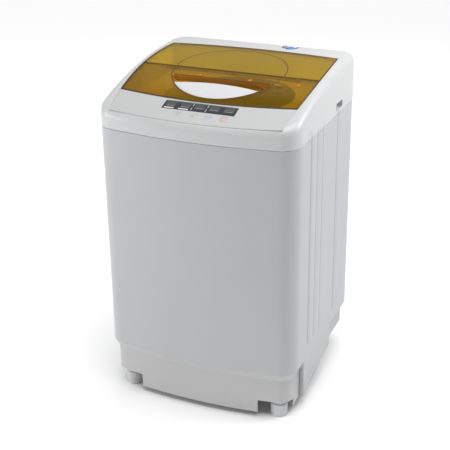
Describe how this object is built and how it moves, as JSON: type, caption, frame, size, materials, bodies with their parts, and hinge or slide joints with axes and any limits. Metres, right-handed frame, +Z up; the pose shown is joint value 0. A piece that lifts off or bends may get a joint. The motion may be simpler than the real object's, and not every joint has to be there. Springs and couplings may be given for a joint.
{
  "type": "top load washing machine",
  "caption": "Upright top load washing machine with a folding see-through lid, a sloping control strip, a round drum and pulsator, and levelling feet.",
  "frame": {"origin": "centre of the machine's box on the floor, under the four feet", "axes": "+Z up, the front faces -Y, +X is the right-hand side seen from the front"},
  "size_m": [0.48, 0.464, 0.79],
  "materials": {
    "cabinet_paint": "smooth satin powder paint, light grey-white",
    "cover_plastic": "semi-gloss moulded plastic, white",
    "base_plastic": "matt moulded plastic, light grey",
    "fascia_plastic": "satin film over moulded plastic, light grey",
    "amber_lid": "clear tinted plastic, amber, polished",
    "grip_white": "semi-gloss moulded plastic, white",
    "display_dark": "glossy dark window",
    "blue_plastic": "satin moulded plastic, blue",
    "red_plastic": "satin film, light grey with a red ring",
    "grey_plastic": "matt moulded plastic, mid grey",
    "white_plastic": "matt moulded plastic, white",
    "tub_plastic": "matt moulded plastic, off-white",
    "stainless": "brushed stainless steel",
    "zinc_steel": "zinc-plated steel",
    "dark_steel": "dark painted steel",
    "cast_aluminium": "as-cast aluminium",
    "rubber": "matt black rubber",
    "circuit_board": "green lacquered board"
  },
  "bodies": {
    "cabinet": {"cabinet_shell": "cabinet_paint", "back_panel": "cabinet_paint", "base_frame": "base_plastic", "top_cover": "cover_plastic", "control_fascia": "fascia_plastic", "display_window": "display_dark", "control_board": "circuit_board", "inlet_fitting": "white_plastic", "inlet_valve": "white_plastic", "water_spout": "white_plastic", "pressure_switch": "white_plastic", "lid_switch": "white_plastic", "motor_capacitor": "cast_aluminium", "power_gland": "rubber", "drain_outlet": "grey_plastic", "suspension_rod_front_left": "zinc_steel", "suspension_rod_front_right": "zinc_steel", "suspension_rod_rear_left": "zinc_steel", "suspension_rod_rear_right": "zinc_steel", "suspension_spring_front_left": "zinc_steel", "suspension_spring_front_right": "zinc_steel", "suspension_spring_rear_left": "zinc_steel", "suspension_spring_rear_right": "zinc_steel"},
    "foot_front_left": {"foot_front_left": "grey_plastic"},
    "foot_front_right": {"foot_front_right": "grey_plastic"},
    "foot_rear_left": {"foot_rear_left": "grey_plastic"},
    "foot_rear_right": {"foot_rear_right": "grey_plastic"},
    "button_program": {"button_program": "grey_plastic"},
    "button_level": {"button_level": "grey_plastic"},
    "button_start": {"button_start": "blue_plastic"},
    "button_power": {"button_power": "red_plastic"},
    "inlet_cap": {"inlet_cap": "blue_plastic"},
    "lid_rear": {"lid_rear_panel": "amber_lid", "lid_fold_pin": "zinc_steel", "lid_hinge_pin_left": "zinc_steel", "lid_hinge_pin_right": "zinc_steel"},
    "lid_front": {"lid_front_panel": "amber_lid", "lid_grip": "grip_white"},
    "tub": {"outer_tub": "tub_plastic", "tub_ring": "tub_plastic", "tub_base_plate": "zinc_steel", "tub_seal": "rubber", "gearbox": "cast_aluminium", "motor": "dark_steel", "drain_valve": "white_plastic", "drain_actuator": "white_plastic", "drain_hose": "rubber", "drive_belt": "rubber"},
    "drum": {"drum_wall": "stainless", "drum_base": "tub_plastic", "balance_ring": "tub_plastic", "drum_shaft": "zinc_steel"},
    "lint_filter": {"lint_filter": "blue_plastic"},
    "pulsator": {"pulsator": "tub_plastic", "pulsator_shaft": "zinc_steel", "pulsator_screw": "stainless"},
    "drive_pulley": {"drive_pulley": "cast_aluminium"},
    "motor_pulley": {"motor_pulley": "cast_aluminium"}
  },
  "joints": [
    {"name": "foot_front_left_height", "type": "slide", "parent": "cabinet", "child": "foot_front_left", "axis": [0, 0, -1], "range_m": [0, 0.01]},
    {"name": "foot_front_right_height", "type": "slide", "parent": "cabinet", "child": "foot_front_right", "axis": [0, 0, -1], "range_m": [0, 0.01]},
    {"name": "foot_rear_left_height", "type": "slide", "parent": "cabinet", "child": "foot_rear_left", "axis": [0, 0, -1], "range_m": [0, 0.01]},
    {"name": "foot_rear_right_height", "type": "slide", "parent": "cabinet", "child": "foot_rear_right", "axis": [0, 0, -1], "range_m": [0, 0.01]},
    {"name": "button_program_press", "type": "slide", "parent": "cabinet", "child": "button_program", "axis": [0, 0, -1], "range_m": [0, 0.0015], "stiffness_N_per_m": 500, "springref_m": -0.001},
    {"name": "button_level_press", "type": "slide", "parent": "cabinet", "child": "button_level", "axis": [0, 0, -1], "range_m": [0, 0.0015], "stiffness_N_per_m": 500, "springref_m": -0.001},
    {"name": "button_start_press", "type": "slide", "parent": "cabinet", "child": "button_start", "axis": [0, 0, -1], "range_m": [0, 0.0015], "stiffness_N_per_m": 500, "springref_m": -0.001},
    {"name": "button_power_press", "type": "slide", "parent": "cabinet", "child": "button_power", "axis": [0, 0, -1], "range_m": [0, 0.0015], "stiffness_N_per_m": 500, "springref_m": -0.001},
    {"name": "inlet_cap_pull", "type": "slide", "parent": "cabinet", "child": "inlet_cap", "axis": [0, 0, 1], "range_m": [0, 0.025]},
    {"name": "lid_hinge", "type": "hinge", "parent": "cabinet", "child": "lid_rear", "pos_m": [0, 0.143, 0.7869], "axis": [-1, 0, 0], "range_deg": [0, 85]},
    {"name": "lid_fold", "type": "hinge", "parent": "lid_rear", "child": "lid_front", "pos_m": [0, 0, 0.7708], "axis": [1, 0, 0], "range_deg": [0, 170]},
    {"name": "tub_bounce", "type": "slide", "parent": "cabinet", "child": "tub", "axis": [0, 0, 1], "range_m": [-0.015, 0.012], "stiffness_N_per_m": 9000, "springref_m": 0.0224, "deforming": ["suspension_spring_front_left", "suspension_spring_front_right", "suspension_spring_rear_left", "suspension_spring_rear_right"]},
    {"name": "drum_spin", "type": "hinge", "parent": "tub", "child": "drum", "pos_m": [0, 0, 0.3], "axis": [0, 0, 1], "continuous": true},
    {"name": "pulsator_spin", "type": "hinge", "parent": "tub", "child": "pulsator", "pos_m": [0, 0, 0.24], "axis": [0, 0, 1], "continuous": true},
    {"name": "drive_pulley_spin", "type": "hinge", "parent": "tub", "child": "drive_pulley", "pos_m": [0, 0, 0.092], "axis": [0, 0, 1], "continuous": true},
    {"name": "motor_pulley_spin", "type": "hinge", "parent": "tub", "child": "motor_pulley", "pos_m": [-0.118, 0, 0.092], "axis": [0, 0, 1], "continuous": true},
    {"name": "lint_filter_lift", "type": "slide", "parent": "drum", "child": "lint_filter", "axis": [0, 0, 1], "range_m": [0, 0.11]}
  ],
  "couplings": [
    {"joint": "lid_fold", "follows": "lid_hinge", "ratio": 2},
    {"joint": "drive_pulley_spin", "follows": "pulsator_spin", "ratio": 4},
    {"joint": "motor_pulley_spin", "follows": "pulsator_spin", "ratio": 14.95}
  ]
}
